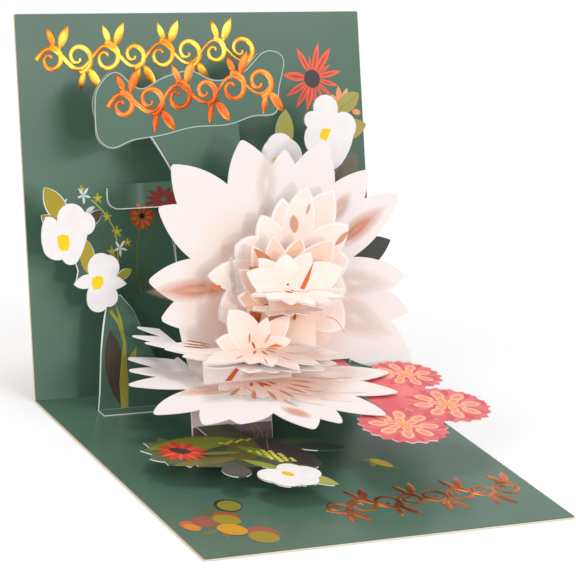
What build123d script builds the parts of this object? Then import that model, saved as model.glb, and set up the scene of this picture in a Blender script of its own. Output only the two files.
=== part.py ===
from build123d import *
import math
import os

# Pop-up greeting card, open on a table, in millimetres.
# X runs along the gutter fold, the base lies towards -Y, Z is up.
# The origin is the middle of the base panel's underside.
# Two distances place every inner sheet: its reach, measured forward along the base,
# and its rise, measured up along the back panel. Each sheet stays parallel to one panel,
# so that the card can close, with reach and rise together inside the panel's depth.

# Driving dimensions of the folded card
card_width = 152.0
panel_depth = 149.0
back_lean = 19.6
cover_thickness = 0.5
liner_thickness = 0.3
liner_inset = 0.15
corner_radius = 0.6
sheet_thickness = 0.35
glue_tab = 8.0

# Reach of the upright sheets, each one a step in front of the sheet behind it
blossom_reach = 14.9
screen_step = 6.3
screen_reach = blossom_reach + screen_step
outer_step = 17.6
outer_reach = screen_reach + outer_step
middle_step = 9.2
middle_reach = outer_reach + middle_step
inner_step = 7.0
inner_reach = middle_reach + inner_step
front_step = 4.0
front_reach = inner_reach + front_step
top_step = 7.0
top_reach = inner_reach + top_step

# Rise of the flat sheets, each one a step above the sheet below it
spray_rise = 7.5
dahlia_step = 12.7
dahlia_rise = spray_rise + dahlia_step
outer_lift = 1.6
outer_rise = dahlia_rise + outer_lift
middle_lift = 11.2
middle_rise = outer_rise + middle_lift
front_lift = 2.8
front_rise = middle_rise + front_lift
inner_lift = 17.5
inner_rise = middle_rise + inner_lift
top_lift = 7.5
top_rise = inner_rise + top_lift

# Ends of the two wide folds, and the room where one cut sheet passes another
outer_fold_shares = (-0.168, 0.283)
middle_fold_shares = (-0.158, 0.197)
outer_flare_share = -0.047
pass_gap = 0.8

# The supports behind the flower
base_riser_step = 18.2
base_riser_reach = outer_reach + base_riser_step
middle_riser_step = 6.0
middle_riser_reach = middle_reach + middle_riser_step
spacer_rise = 66.0
inner_strut_width = 12.0
top_strut_width = 10.0

# Left and right ends of the supports and of the narrow strips, as shares of the card's width
inner_riser_shares = (-0.059, 0.132)
front_riser_shares = (-0.112, 0.013)
top_riser_shares = (-0.020, 0.086)
middle_riser_shares = (-0.188, 0.059)
base_riser_shares = (-0.237, -0.013)
spacer_shares = (0.013, 0.158)
blade_foot_shares = (-0.370, -0.171)
spray_strip_shares = (-0.224, -0.132)
dahlia_strip_shares = (0.197, 0.270)

# The strap that pulls the screen upright
strap_rise = 72.0
strap_height = 10.0
strap_left = -41.5
strap_glued_length = 7.5
strap_bend_radius = 10.0
strap_bend = 55.0
strap_tab = 7.0
strap_corner = 4.0

# Petals: the rounding at their tips, their root, and how far along the belly lies
broad_tip = 1.6
small_tip = 0.7
sharp_tip = 0.3
petal_root_share = 0.3
full_belly_share = 0.58
lean_belly_share = 0.42

lean_sin = math.sin(math.radians(back_lean))
lean_cos = math.cos(math.radians(back_lean))
gutter_y = panel_depth / 2
floor_z = cover_thickness + liner_thickness
panel_normal = (0, -lean_cos, lean_sin)
panel_up = (0, lean_sin, lean_cos)
# One sheet's thickness, measured as reach or rise
slant = sheet_thickness / lean_cos
# A sheet that stops square against a leaning one is cut back by this much
lean_trim = sheet_thickness * lean_sin / lean_cos

os.makedirs("parts", exist_ok=True)


def upright_plane(reach):
    """Plane parallel to the back panel; its Y is the rise above the base."""
    return Plane(origin=(0, gutter_y - reach, floor_z), x_dir=(1, 0, 0), z_dir=panel_normal)


def flat_plane(rise):
    """Plane parallel to the base; its -Y is the reach in front of the gutter."""
    origin = (0, gutter_y + rise * lean_sin, floor_z + rise * lean_cos)
    return Plane(origin=origin, x_dir=(1, 0, 0), z_dir=(0, 0, 1))


def across_plane(rise):
    """Plane square to the back panel; its -Y is the distance in front of that panel."""
    origin = (0, gutter_y + rise * lean_sin, floor_z + rise * lean_cos)
    return Plane(origin=origin, x_dir=(1, 0, 0), z_dir=panel_up)


def save(builder, name):
    builder.part.label = name
    export_step(builder.part, f"parts/{name}.step")


def spot(point_share):
    """Point in millimetres from shares of the card's width."""
    return (card_width * point_share[0], card_width * point_share[1])


def on_card(points_shares):
    return [spot(point) for point in points_shares]


def panel(left, right, low, high):
    """Rectangle between two X values and two Y values."""
    with BuildSketch(Plane.XY, mode=Mode.PRIVATE) as sheet:
        with Locations(((left + right) / 2, (low + high) / 2)):
            Rectangle(right - left, high - low)
    return sheet.sketch


def petal(length, width, tip_radius, belly_share):
    """Petal along +X: narrow root, full belly, arcs that meet in a rounded tip."""
    half = width / 2
    belly = length * belly_share
    root = half * petal_root_share
    with BuildSketch(Plane.XY, mode=Mode.PRIVATE) as blank:
        with BuildLine():
            TangentArc((belly, half), (length, 0), tangent=(1, 0))
            TangentArc((belly, half), (0, root), tangent=(-1, 0))
            TangentArc((belly, -half), (length, 0), tangent=(1, 0))
            TangentArc((belly, -half), (0, -root), tangent=(-1, 0))
            Line((0, root), (0, -root))
        make_face()
        fillet(blank.vertices().sort_by(Axis.X)[-1], tip_radius)
    return blank.sketch


def rosette(center, petals, hub_radius, tip_radius, belly_share=full_belly_share):
    """Petals given as (turn, length share, width share) of the card's width, round a hub."""
    with BuildSketch(Plane.XY, mode=Mode.PRIVATE) as flower:
        with Locations(center):
            Circle(hub_radius)
        for turn, length_share, width_share in petals:
            length = card_width * length_share
            blade = petal(length, card_width * width_share, tip_radius, belly_share)
            with Locations(Location((center[0], center[1], 0), (0, 0, turn))):
                add(blade)
    return flower.sketch


def leaf(ends_shares, bulge_share):
    """Leaf from its root to its tip, the two edges arcs of the same bulge."""
    start, end = on_card(ends_shares)
    run = end[0] - start[0]
    lift = end[1] - start[1]
    middle = ((start[0] + end[0]) / 2, (start[1] + end[1]) / 2)
    side = (middle[0] - lift * bulge_share, middle[1] + run * bulge_share)
    other = (middle[0] + lift * bulge_share, middle[1] - run * bulge_share)
    with BuildSketch(Plane.XY, mode=Mode.PRIVATE) as blade:
        with BuildLine():
            ThreePointArc(start, side, end)
            ThreePointArc(end, other, start)
        make_face()
    return blade.sketch


def blossom(center_share, radius_share, lobes):
    """Open blossom: round lobes about a hub, each (turn, share of the radius)."""
    center = spot(center_share)
    radius = card_width * radius_share
    lobe_radius = radius / 2
    with BuildSketch(Plane.XY, mode=Mode.PRIVATE) as bloom:
        with Locations(center):
            Circle(lobe_radius)
        for turn, size_share in lobes:
            out = (radius - lobe_radius) * size_share
            angle = math.radians(turn)
            with Locations((center[0] + out * math.cos(angle), center[1] + out * math.sin(angle))):
                Circle(lobe_radius * size_share)
    return bloom.sketch


def lobed(outline_shares):
    """Outline of arcs: corners and the tops of the lobes between them, by turns."""
    points = on_card(outline_shares)
    with BuildSketch(Plane.XY, mode=Mode.PRIVATE) as shape:
        with BuildLine():
            for index in range(0, len(points), 2):
                end = points[(index + 2) % len(points)]
                ThreePointArc(points[index], points[index + 1], end)
        make_face()
    return shape.sketch


def frilled_disc(center_share, radius_share, frills, frill_share):
    """Disc with a frilled edge of small pointed petals."""
    center = spot(center_share)
    rim = []
    for index in range(2 * frills):
        angle = math.pi * index / frills
        reach = card_width * (radius_share - frill_share * (index % 2))
        rim.append((center[0] + reach * math.cos(angle), center[1] + reach * math.sin(angle)))
    with BuildSketch(Plane.XY, mode=Mode.PRIVATE) as disc:
        Polygon(*rim, align=None)
    return disc.sketch


def folded_section(inner_depth, outer_depth, inset):
    """Section of a folded sheet that lies between two depths below the card's inner faces."""
    run = panel_depth - inset
    front = gutter_y - run

    def fold(depth):
        return (gutter_y + depth * (1 - lean_sin) / lean_cos, floor_z - depth)

    def back_end(depth):
        return (gutter_y + run * lean_sin + depth * lean_cos, floor_z + run * lean_cos - depth * lean_sin)

    return [
        (front, floor_z - inner_depth),
        fold(inner_depth),
        back_end(inner_depth),
        back_end(outer_depth),
        fold(outer_depth),
        (front, floor_z - outer_depth),
    ]


# Outer cover: one folded sheet of thick cream board
with BuildPart() as outer_cover:
    with BuildSketch(Plane.YZ):
        Polygon(*folded_section(liner_thickness, floor_z, 0), align=None)
    extrude(amount=card_width / 2, both=True)
    fillet(outer_cover.edges().filter_by(Axis.Z).group_by(Axis.Y)[0], corner_radius)
    fillet(outer_cover.edges().filter_by(Axis((0, 0, 0), panel_normal)), corner_radius)
save(outer_cover, "outer_cover")

# Inner liner: the printed folded sheet glued inside the cover
with BuildPart() as inner_liner:
    with BuildSketch(Plane.YZ):
        Polygon(*folded_section(0, liner_thickness, liner_inset), align=None)
    extrude(amount=card_width / 2 - liner_inset, both=True)
    fillet(inner_liner.edges().filter_by(Axis.Z).group_by(Axis.Y)[0], corner_radius)
    fillet(inner_liner.edges().filter_by(Axis((0, 0, 0), panel_normal)), corner_radius)
save(inner_liner, "inner_liner")

# Outer petals: one sheet folded across the flower, its upper half upright
outer_fold_left, outer_fold_right = [card_width * share for share in outer_fold_shares]
outer_up_share = (0.089, 0.199)
outer_up_center = (card_width * outer_up_share[0], outer_rise + card_width * outer_up_share[1])
outer_up_petal_shares = [
    (-30, 0.443, 0.155),
    (-13, 0.392, 0.120),
    (1, 0.376, 0.118),
    (31, 0.429, 0.120),
    (46, 0.401, 0.125),
    (67, 0.401, 0.150),
    (84, 0.352, 0.125),
    (103, 0.388, 0.160),
    (132, 0.432, 0.160),
    (147, 0.397, 0.135),
    (175, 0.373, 0.128),
    (191, 0.349, 0.118),
]
outer_up_body_shares = [
    (-0.204, 0.119),
    (-0.194, 0.061),
    (-0.182, 0.015),
    (-0.168, -0.013),
    (0.283, -0.013),
    (0.316, 0.120),
    (0.263, 0.252),
    (-0.066, 0.252),
]
outer_flat_share = (-0.026, 0.082)
outer_flat_center = (card_width * outer_flat_share[0], -outer_reach - card_width * outer_flat_share[1])
outer_flat_petal_shares = [
    (5, 0.369, 0.110),
    (28, 0.358, 0.118),
    (56, 0.364, 0.125),
    (79, 0.334, 0.100),
    (94, 0.347, 0.120),
    (125, 0.335, 0.145),
    (137, 0.388, 0.105),
    (155, 0.414, 0.110),
    (183, 0.359, 0.092),
    (200, 0.337, 0.080),
    (215, 0.345, 0.080),
]
outer_hub_share = 0.225
outer_hub = card_width * outer_hub_share
with BuildPart() as outer_petals:
    with BuildSketch(upright_plane(outer_reach)):
        add(rosette(outer_up_center, outer_up_petal_shares, outer_hub, broad_tip))
        Polygon(*[(x, outer_rise + y) for x, y in on_card(outer_up_body_shares)], align=None)
        add(panel(-card_width, outer_fold_right, -card_width, outer_rise), mode=Mode.SUBTRACT)
    extrude(amount=sheet_thickness)
    with BuildSketch(flat_plane(outer_rise)):
        low_turns = [(-turn, length, width) for turn, length, width in outer_flat_petal_shares]
        add(rosette(outer_flat_center, low_turns, outer_hub, broad_tip))
        add(panel(outer_fold_left, card_width, -outer_reach, card_width), mode=Mode.SUBTRACT)
    extrude(amount=sheet_thickness)
save(outer_petals, "outer_petals")

# Middle petals: folded sheet in front of the outer one, with petals back past its sides
middle_fold_left, middle_fold_right = [card_width * share for share in middle_fold_shares]
middle_up_share = (0.080, 0.171)
middle_up_center = (card_width * middle_up_share[0], middle_rise + card_width * middle_up_share[1])
middle_up_petal_shares = [
    (149, 0.165, 0.110),
    (177, 0.225, 0.085),
    (207, 0.222, 0.125),
    (112, 0.170, 0.085),
    (90, 0.200, 0.080),
    (72, 0.240, 0.090),
    (55, 0.262, 0.105),
    (33, 0.225, 0.095),
    (10, 0.190, 0.100),
    (-16, 0.180, 0.110),
    (-42, 0.215, 0.120),
]
middle_flat_share = (-0.053, 0.049)
middle_flat_center = (card_width * middle_flat_share[0], -middle_reach - card_width * middle_flat_share[1])
middle_flat_petal_shares = [
    (227, 0.318, 0.060),
    (214, 0.312, 0.055),
    (206, 0.274, 0.060),
    (198, 0.224, 0.070),
    (183, 0.190, 0.080),
    (158, 0.180, 0.085),
    (120, 0.145, 0.085),
    (92, 0.140, 0.080),
    (68, 0.160, 0.080),
    (48, 0.195, 0.085),
    (32, 0.215, 0.080),
    (12, 0.235, 0.090),
]
middle_hub_share = 0.095
middle_hub = card_width * middle_hub_share
middle_body_shares = (-0.095, 0.197)
# The outer sheet's left edge passes between these petals, so they are cut free round it
outer_edge_left = outer_fold_left + card_width * outer_flare_share
with BuildPart() as middle_petals:
    with BuildSketch(upright_plane(middle_reach)):
        add(rosette(middle_up_center, middle_up_petal_shares, middle_hub, small_tip))
        body_left, body_right = [card_width * share for share in middle_body_shares]
        add(panel(body_left, body_right, middle_rise, middle_up_center[1]))
        add(panel(-card_width, card_width, -card_width, middle_rise), mode=Mode.SUBTRACT)
    extrude(amount=sheet_thickness)
    with BuildSketch(flat_plane(middle_rise)):
        low_turns = [(-turn, length, width) for turn, length, width in middle_flat_petal_shares]
        add(rosette(middle_flat_center, low_turns, middle_hub, small_tip))
        add(panel(middle_fold_left, card_width, -middle_reach, card_width), mode=Mode.SUBTRACT)
        outer_front = -outer_reach - slant - pass_gap
        add(panel(outer_edge_left, card_width, outer_front, card_width), mode=Mode.SUBTRACT)
        blossom_front = -blossom_reach - slant - pass_gap
        add(panel(-card_width, card_width, blossom_front, card_width), mode=Mode.SUBTRACT)
    extrude(amount=sheet_thickness)
save(middle_petals, "middle_petals")

# Inner petals: a small folded sheet whose riser stands on the middle petals
inner_riser_left, inner_riser_right = [card_width * share for share in inner_riser_shares]
inner_up_petal_shares = [
    (168, 0.125, 0.075),
    (140, 0.150, 0.075),
    (115, 0.172, 0.070),
    (94, 0.180, 0.080),
    (68, 0.185, 0.085),
    (44, 0.228, 0.105),
    (16, 0.180, 0.080),
]
inner_flat_petal_shares = [
    (165, 0.095, 0.060),
    (135, 0.100, 0.055),
    (100, 0.085, 0.050),
    (65, 0.095, 0.055),
    (35, 0.110, 0.060),
    (8, 0.120, 0.065),
]
inner_hub_share = 0.045
inner_hub = card_width * inner_hub_share
inner_middle = (inner_riser_left + inner_riser_right) / 2
with BuildPart() as inner_petals:
    with BuildSketch(upright_plane(inner_reach)):
        center = (inner_middle, inner_rise)
        add(rosette(center, inner_up_petal_shares, inner_hub, sharp_tip, lean_belly_share))
        add(panel(-card_width, card_width, -card_width, inner_rise), mode=Mode.SUBTRACT)
        add(panel(inner_riser_left, inner_riser_right, middle_rise + slant, inner_rise))
    extrude(amount=sheet_thickness)
    with BuildSketch(flat_plane(inner_rise)):
        low_turns = [(-turn, length, width) for turn, length, width in inner_flat_petal_shares]
        center = (inner_middle, -inner_reach)
        add(rosette(center, low_turns, inner_hub, sharp_tip, lean_belly_share))
        add(panel(-card_width, card_width, -inner_reach, card_width), mode=Mode.SUBTRACT)
        strut_left = inner_middle - inner_strut_width / 2
        strut_right = inner_middle + inner_strut_width / 2
        add(panel(strut_left, strut_right, -inner_reach - slant, -middle_reach - slant))
    extrude(amount=sheet_thickness)
save(inner_petals, "inner_petals")

# Front petals: the small flower low in front, on a short riser of its own
front_riser_left, front_riser_right = [card_width * share for share in front_riser_shares]
front_strut_share = -0.105
front_middle_share = -0.049
front_strut_left = card_width * front_strut_share
front_middle = card_width * front_middle_share
front_up_petal_shares = [
    (166, 0.120, 0.065),
    (126, 0.128, 0.085),
    (88, 0.064, 0.040),
    (68, 0.086, 0.045),
    (38, 0.124, 0.062),
    (10, 0.100, 0.045),
]
front_flat_petal_shares = [
    (184, 0.155, 0.070),
    (157, 0.200, 0.080),
    (127, 0.118, 0.070),
    (100, 0.125, 0.065),
    (76, 0.160, 0.070),
    (52, 0.175, 0.075),
    (33, 0.195, 0.070),
    (10, 0.170, 0.065),
]
front_hub_share = 0.035
front_hub = card_width * front_hub_share
with BuildPart() as front_petals:
    with BuildSketch(upright_plane(front_reach)):
        center = (front_middle, front_rise)
        add(rosette(center, front_up_petal_shares, front_hub, sharp_tip, lean_belly_share))
        add(panel(-card_width, card_width, -card_width, front_rise), mode=Mode.SUBTRACT)
        add(panel(front_riser_left, front_riser_right, middle_rise + slant, front_rise))
    extrude(amount=sheet_thickness)
    with BuildSketch(flat_plane(front_rise)):
        low_turns = [(-turn, length, width) for turn, length, width in front_flat_petal_shares]
        center = (front_middle, -front_reach)
        add(rosette(center, low_turns, front_hub, sharp_tip, lean_belly_share))
        add(panel(-card_width, card_width, -front_reach, card_width), mode=Mode.SUBTRACT)
        strut_back = -middle_reach - slant
        strut_right = inner_riser_left - pass_gap
        add(panel(front_strut_left, strut_right, -front_reach - slant, strut_back))
    extrude(amount=sheet_thickness)
save(front_petals, "front_petals")

# Top petals: the uppermost small flower, its riser standing on the inner petals
top_riser_left, top_riser_right = [card_width * share for share in top_riser_shares]
top_middle = (top_riser_left + top_riser_right) / 2
top_up_petal_shares = [
    (176, 0.090, 0.050),
    (154, 0.124, 0.070),
    (131, 0.116, 0.062),
    (90, 0.096, 0.076),
    (52, 0.120, 0.072),
    (17, 0.172, 0.092),
]
top_flat_petal_shares = [
    (172, 0.110, 0.055),
    (145, 0.100, 0.060),
    (112, 0.105, 0.055),
    (82, 0.120, 0.060),
    (55, 0.130, 0.060),
    (30, 0.150, 0.065),
    (8, 0.160, 0.060),
]
top_hub_share = 0.035
top_hub = card_width * top_hub_share
with BuildPart() as top_petals:
    with BuildSketch(upright_plane(top_reach)):
        center = (top_middle, top_rise)
        add(rosette(center, top_up_petal_shares, top_hub, sharp_tip, lean_belly_share))
        add(panel(-card_width, card_width, -card_width, top_rise), mode=Mode.SUBTRACT)
        add(panel(top_riser_left, top_riser_right, inner_rise + slant, top_rise))
    extrude(amount=sheet_thickness)
    with BuildSketch(flat_plane(top_rise)):
        low_turns = [(-turn, length, width) for turn, length, width in top_flat_petal_shares]
        center = (top_middle, -top_reach)
        add(rosette(center, low_turns, top_hub, sharp_tip, lean_belly_share))
        add(panel(-card_width, card_width, -top_reach, card_width), mode=Mode.SUBTRACT)
        strut_left = top_middle - top_strut_width / 2
        strut_right = top_middle + top_strut_width / 2
        add(panel(strut_left, strut_right, -top_reach - slant, -inner_reach - slant))
    extrude(amount=sheet_thickness)
save(top_petals, "top_petals")

# Middle riser: the strip that carries the middle petals on the outer ones
middle_riser_left, middle_riser_right = [card_width * share for share in middle_riser_shares]
with BuildPart() as middle_riser:
    with BuildSketch(upright_plane(middle_riser_reach)):
        add(panel(middle_riser_left, middle_riser_right, outer_rise + slant, middle_rise - lean_trim))
    extrude(amount=sheet_thickness)
    with BuildSketch(flat_plane(outer_rise + slant)):
        tab_back = -middle_riser_reach + glue_tab
        add(panel(middle_riser_left, middle_riser_right, -middle_riser_reach - slant, tab_back))
    extrude(amount=sheet_thickness)
save(middle_riser, "middle_riser")

# Base riser: the strip that carries the outer petals on the base
base_riser_left, base_riser_right = [card_width * share for share in base_riser_shares]
with BuildPart() as base_riser:
    with BuildSketch(upright_plane(base_riser_reach)):
        add(panel(base_riser_left, base_riser_right, 0, outer_rise - lean_trim))
    extrude(amount=sheet_thickness)
    with BuildSketch(flat_plane(0)):
        tab_back = -base_riser_reach + glue_tab
        add(panel(base_riser_left, base_riser_right, -base_riser_reach - slant, tab_back))
    extrude(amount=sheet_thickness)
save(base_riser, "base_riser")

# Flower spacer: the strut that holds the outer petals off the screen
spacer_left, spacer_right = [card_width * share for share in spacer_shares]
with BuildPart() as flower_spacer:
    with BuildSketch(flat_plane(spacer_rise)):
        add(panel(spacer_left, spacer_right, -outer_reach + lean_trim, -screen_reach - slant))
    extrude(amount=sheet_thickness)
    with BuildSketch(upright_plane(screen_reach + slant)):
        add(panel(spacer_left, spacer_right, spacer_rise - glue_tab, spacer_rise + slant))
    extrude(amount=sheet_thickness)
    with BuildSketch(upright_plane(outer_reach - slant)):
        add(panel(spacer_left, spacer_right, spacer_rise - glue_tab, spacer_rise + slant))
    extrude(amount=sheet_thickness)
save(flower_spacer, "flower_spacer")

# Screen: the upright green sheet with the wavy plaque, its pillar and the right-hand sprays
plaque_shares = [
    (-0.355, 0.760),
    (-0.345, 0.825),
    (-0.290, 0.868),
    (-0.225, 0.825),
    (-0.155, 0.852),
    (-0.080, 0.868),
    (-0.010, 0.842),
    (0.070, 0.860),
    (0.140, 0.915),
    (0.195, 0.895),
    (0.178, 0.815),
    (0.165, 0.750),
    (0.095, 0.742),
    (0.020, 0.722),
    (-0.080, 0.718),
    (-0.170, 0.700),
    (-0.250, 0.690),
    (-0.310, 0.672),
    (-0.350, 0.700),
]
pillar_left_shares = [
    (-0.215, 0.718),
    (-0.174, 0.655),
    (-0.143, 0.598),
    (-0.132, 0.541),
    (-0.150, 0.490),
    (-0.150, 0.394),
    (-0.140, 0.250),
    (-0.132, 0),
]
pillar_right_shares = [
    (0.265, 0),
    (0.276, 0.200),
    (0.303, 0.330),
    (0.329, 0.526),
    (0.280, 0.575),
    (0.060, 0.590),
    (0.050, 0.735),
]
big_blossom_shares = [
    (0.254, 0.711),
    (0.251, 0.745),
    (0.274, 0.753),
    (0.313, 0.796),
    (0.346, 0.746),
    (0.386, 0.741),
    (0.391, 0.687),
    (0.379, 0.654),
    (0.358, 0.622),
    (0.307, 0.597),
    (0.261, 0.641),
    (0.243, 0.675),
]
small_blossom_shares = [
    (0.133, 0.678),
    (0.168, 0.699),
    (0.203, 0.682),
    (0.233, 0.643),
    (0.221, 0.603),
    (0.178, 0.570),
    (0.134, 0.596),
    (0.113, 0.638),
]
screen_leaf_shares = [
    (((0.178, 0.640), (0.192, 0.760)), 0.22),
    (((0.330, 0.690), (0.431, 0.715)), 0.26),
    (((0.325, 0.520), (0.398, 0.640)), 0.22),
    (((0.270, 0.325), (0.488, 0.405)), 0.20),
]
with BuildPart() as screen:
    with BuildSketch(upright_plane(screen_reach)):
        with BuildLine():
            Spline(*on_card(plaque_shares), periodic=True)
        make_face()
        with BuildLine():
            edge_left = Spline(*on_card(pillar_left_shares))
            Polyline(edge_left @ 1, *on_card(pillar_right_shares), edge_left @ 0)
        make_face()
        add(lobed(big_blossom_shares))
        add(lobed(small_blossom_shares))
        for ends_shares, bulge_share in screen_leaf_shares:
            add(leaf(ends_shares, bulge_share))
    extrude(amount=sheet_thickness)
    with BuildSketch(flat_plane(0)):
        foot_left = card_width * pillar_left_shares[-1][0]
        foot_right = card_width * pillar_right_shares[0][0]
        add(panel(foot_left, foot_right, -screen_reach - glue_tab, -screen_reach))
    extrude(amount=sheet_thickness)
save(screen, "screen")

# Blossom screen: the upright sheet at the left, cut as leaf blades under two open blossoms
upper_blossom_shares = [
    (-0.486, 0.495),
    (-0.472, 0.495),
    (-0.455, 0.483),
    (-0.425, 0.525),
    (-0.378, 0.503),
    (-0.351, 0.480),
    (-0.374, 0.445),
    (-0.386, 0.412),
    (-0.404, 0.380),
    (-0.424, 0.372),
    (-0.445, 0.387),
    (-0.471, 0.388),
    (-0.492, 0.404),
    (-0.499, 0.451),
]
lower_blossom_shares = [
    (-0.376, 0.346),
    (-0.366, 0.388),
    (-0.320, 0.392),
    (-0.292, 0.372),
    (-0.300, 0.338),
    (-0.287, 0.330),
    (-0.272, 0.316),
    (-0.288, 0.308),
    (-0.304, 0.303),
    (-0.303, 0.272),
    (-0.330, 0.261),
    (-0.366, 0.251),
    (-0.384, 0.276),
    (-0.383, 0.296),
    (-0.378, 0.311),
    (-0.399, 0.311),
    (-0.418, 0.322),
    (-0.403, 0.338),
]
blossom_link_shares = [
    (-0.414, 0.386),
    (-0.405, 0.356),
    (-0.413, 0.326),
    (-0.370, 0.330),
    (-0.365, 0.395),
    (-0.388, 0.425),
]
blade_foot_left, blade_foot_right = [card_width * share for share in blade_foot_shares]
blade_edge_shares = [(-0.370, 0), (-0.364, 0.045), (-0.355, 0.140), (-0.328, 0.275)]
blade_back_shares = [(-0.292, 0.290), (-0.258, 0.250), (-0.215, 0.150), (-0.171, 0.060), (-0.171, 0)]
left_leaf_bulge_share = 0.24
left_leaf_shares = [
    ((-0.425, 0.470), (-0.484, 0.570)),
    ((-0.430, 0.450), (-0.497, 0.500)),
    ((-0.376, 0.345), (-0.380, 0.436)),
    ((-0.380, 0.465), (-0.330, 0.506)),
    ((-0.300, 0.330), (-0.256, 0.352)),
]
with BuildPart() as blossom_screen:
    with BuildSketch(upright_plane(blossom_reach)):
        with BuildLine():
            edge = Spline(*on_card(blade_edge_shares))
            Polyline(edge @ 1, *on_card(blade_back_shares), edge @ 0)
        make_face()
        Polygon(*on_card(blossom_link_shares), align=None)
        for outline_shares in (upper_blossom_shares, lower_blossom_shares):
            add(lobed(outline_shares))
        for ends_shares in left_leaf_shares:
            add(leaf(ends_shares, left_leaf_bulge_share))
    extrude(amount=sheet_thickness)
    with BuildSketch(flat_plane(0)):
        blossom_tab = -screen_reach + slant
        add(panel(blade_foot_left, blade_foot_right, blossom_tab, -blossom_reach))
    extrude(amount=sheet_thickness)
save(blossom_screen, "blossom_screen")

# Pull strap: glued to the liner at its left, it bends forward to the screen's back
screen_distance = screen_reach * lean_cos
bend = math.radians(strap_bend)
arc_start = strap_left + strap_glued_length
arc_run = strap_bend_radius * math.sin(bend)
arc_rise = strap_bend_radius * (1 - math.cos(bend))
strap_end_distance = screen_distance - sheet_thickness
straight_run = (strap_end_distance - arc_rise) / math.tan(bend)
strap_end = arc_start + arc_run + straight_run
with BuildPart() as pull_strap:
    with BuildSketch(across_plane(strap_rise)):
        with BuildLine():
            glued = Line((strap_left, 0), (arc_start, 0))
            curve = CenterArc((arc_start, -strap_bend_radius), strap_bend_radius, 90, -strap_bend)
            Line(curve @ 1, (strap_end, -strap_end_distance))
            offset(amount=sheet_thickness, side=Side.RIGHT)
        make_face()
        add(panel(strap_end - sheet_thickness, strap_end + strap_tab, -screen_distance, -strap_end_distance))
    extrude(amount=strap_height)
    strap_ends = pull_strap.edges().filter_by(Axis((0, 0, 0), panel_normal)).group_by(Axis.X)[0]
    fillet(strap_ends, strap_corner)
save(pull_strap, "pull_strap")

# Leaf spray: the low sheet over the base, hinged on the base riser
spray_body_shares = [
    (-0.380, 0.455),
    (-0.270, 0.432),
    (-0.180, 0.440),
    (-0.110, 0.468),
    (-0.050, 0.492),
    (-0.028, 0.600),
    (-0.038, 0.674),
    (-0.139, 0.650),
    (-0.200, 0.640),
    (-0.275, 0.622),
    (-0.330, 0.608),
]
spray_strip_left, spray_strip_right = [card_width * share for share in spray_strip_shares]
spray_strip_front_share = 0.460
red_daisy_center_share = (-0.338, -0.515)
red_daisy_share = 0.094
daisy_frill_share = 0.022
daisy_frills = 11
white_daisy_center_share = (-0.135, -0.703)
white_daisy_share = 0.082
white_daisy_lobe_shares = [(180, 1), (235, 0.95), (-60, 0.95), (0, 1), (60, 0.8)]
round_lobe_center_share = (-0.252, -0.655)
round_lobe_share = 0.036
spray_leaf_bulge_share = 0.2
spray_leaf_shares = [
    ((-0.120, -0.690), (-0.044, -0.792)),
    ((-0.080, -0.500), (0.088, -0.582)),
    ((-0.180, -0.640), (-0.040, -0.676)),
    ((-0.350, -0.560), (-0.424, -0.545)),
]
with BuildPart() as leaf_spray:
    with BuildSketch(flat_plane(spray_rise)):
        Polygon(*[(x, -y) for x, y in on_card(spray_body_shares)], align=None)
        add(frilled_disc(red_daisy_center_share, red_daisy_share, daisy_frills, daisy_frill_share))
        add(blossom(white_daisy_center_share, white_daisy_share, white_daisy_lobe_shares))
        with Locations(spot(round_lobe_center_share)):
            Circle(card_width * round_lobe_share)
        for ends_shares in spray_leaf_shares:
            add(leaf(ends_shares, spray_leaf_bulge_share))
        strip_front = -card_width * spray_strip_front_share
        add(panel(spray_strip_left, spray_strip_right, strip_front, -base_riser_reach - slant))
    extrude(amount=sheet_thickness)
save(leaf_spray, "leaf_spray")

# Dahlias: one flat sheet of three frilled flowers at the right, hinged on the screen
dahlia_shares = [
    (0.378, -0.583, 0.118),
    (0.197, -0.683, 0.115),
    (0.385, -0.370, 0.098),
]
dahlia_strip_left, dahlia_strip_right = [card_width * share for share in dahlia_strip_shares]
dahlia_frill_share = 0.011
dahlia_frills = 20
with BuildPart() as dahlias:
    with BuildSketch(flat_plane(dahlia_rise)):
        for x_share, y_share, radius_share in dahlia_shares:
            add(frilled_disc((x_share, y_share), radius_share, dahlia_frills, dahlia_frill_share))
        hinge_front = card_width * dahlia_shares[0][1]
        add(panel(dahlia_strip_left, dahlia_strip_right, hinge_front, -screen_reach - slant))
        back_right, back_front = spot(dahlia_shares[2][:2])
        add(panel(dahlia_strip_left, back_right, hinge_front, back_front))
    extrude(amount=sheet_thickness)
save(dahlias, "dahlias")
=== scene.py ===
import math

import bpy
from mathutils import Matrix, Vector


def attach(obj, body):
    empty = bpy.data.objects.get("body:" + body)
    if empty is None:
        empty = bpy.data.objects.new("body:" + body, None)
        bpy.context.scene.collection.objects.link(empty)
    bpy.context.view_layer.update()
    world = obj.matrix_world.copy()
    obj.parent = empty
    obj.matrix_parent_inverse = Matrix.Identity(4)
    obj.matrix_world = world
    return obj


# Cover: one folded sheet of cream board, creased across its middle. One panel lies on the table and
# the other leans back. Its faces and its cut edges are the same bare board, a little mottled.
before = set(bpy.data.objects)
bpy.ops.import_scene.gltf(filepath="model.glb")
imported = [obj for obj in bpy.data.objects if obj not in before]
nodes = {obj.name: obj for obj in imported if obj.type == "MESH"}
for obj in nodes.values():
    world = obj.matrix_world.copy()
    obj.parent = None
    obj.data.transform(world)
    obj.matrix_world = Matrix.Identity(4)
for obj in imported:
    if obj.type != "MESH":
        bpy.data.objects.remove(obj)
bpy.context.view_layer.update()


def paint(code):
    """Linear colour of a six-figure screen colour."""
    parts = [int(code[i:i + 2], 16) / 255 for i in (0, 2, 4)]
    return (*[p / 12.92 if p <= 0.04045 else ((p + 0.055) / 1.055) ** 2.4 for p in parts], 1)


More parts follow.
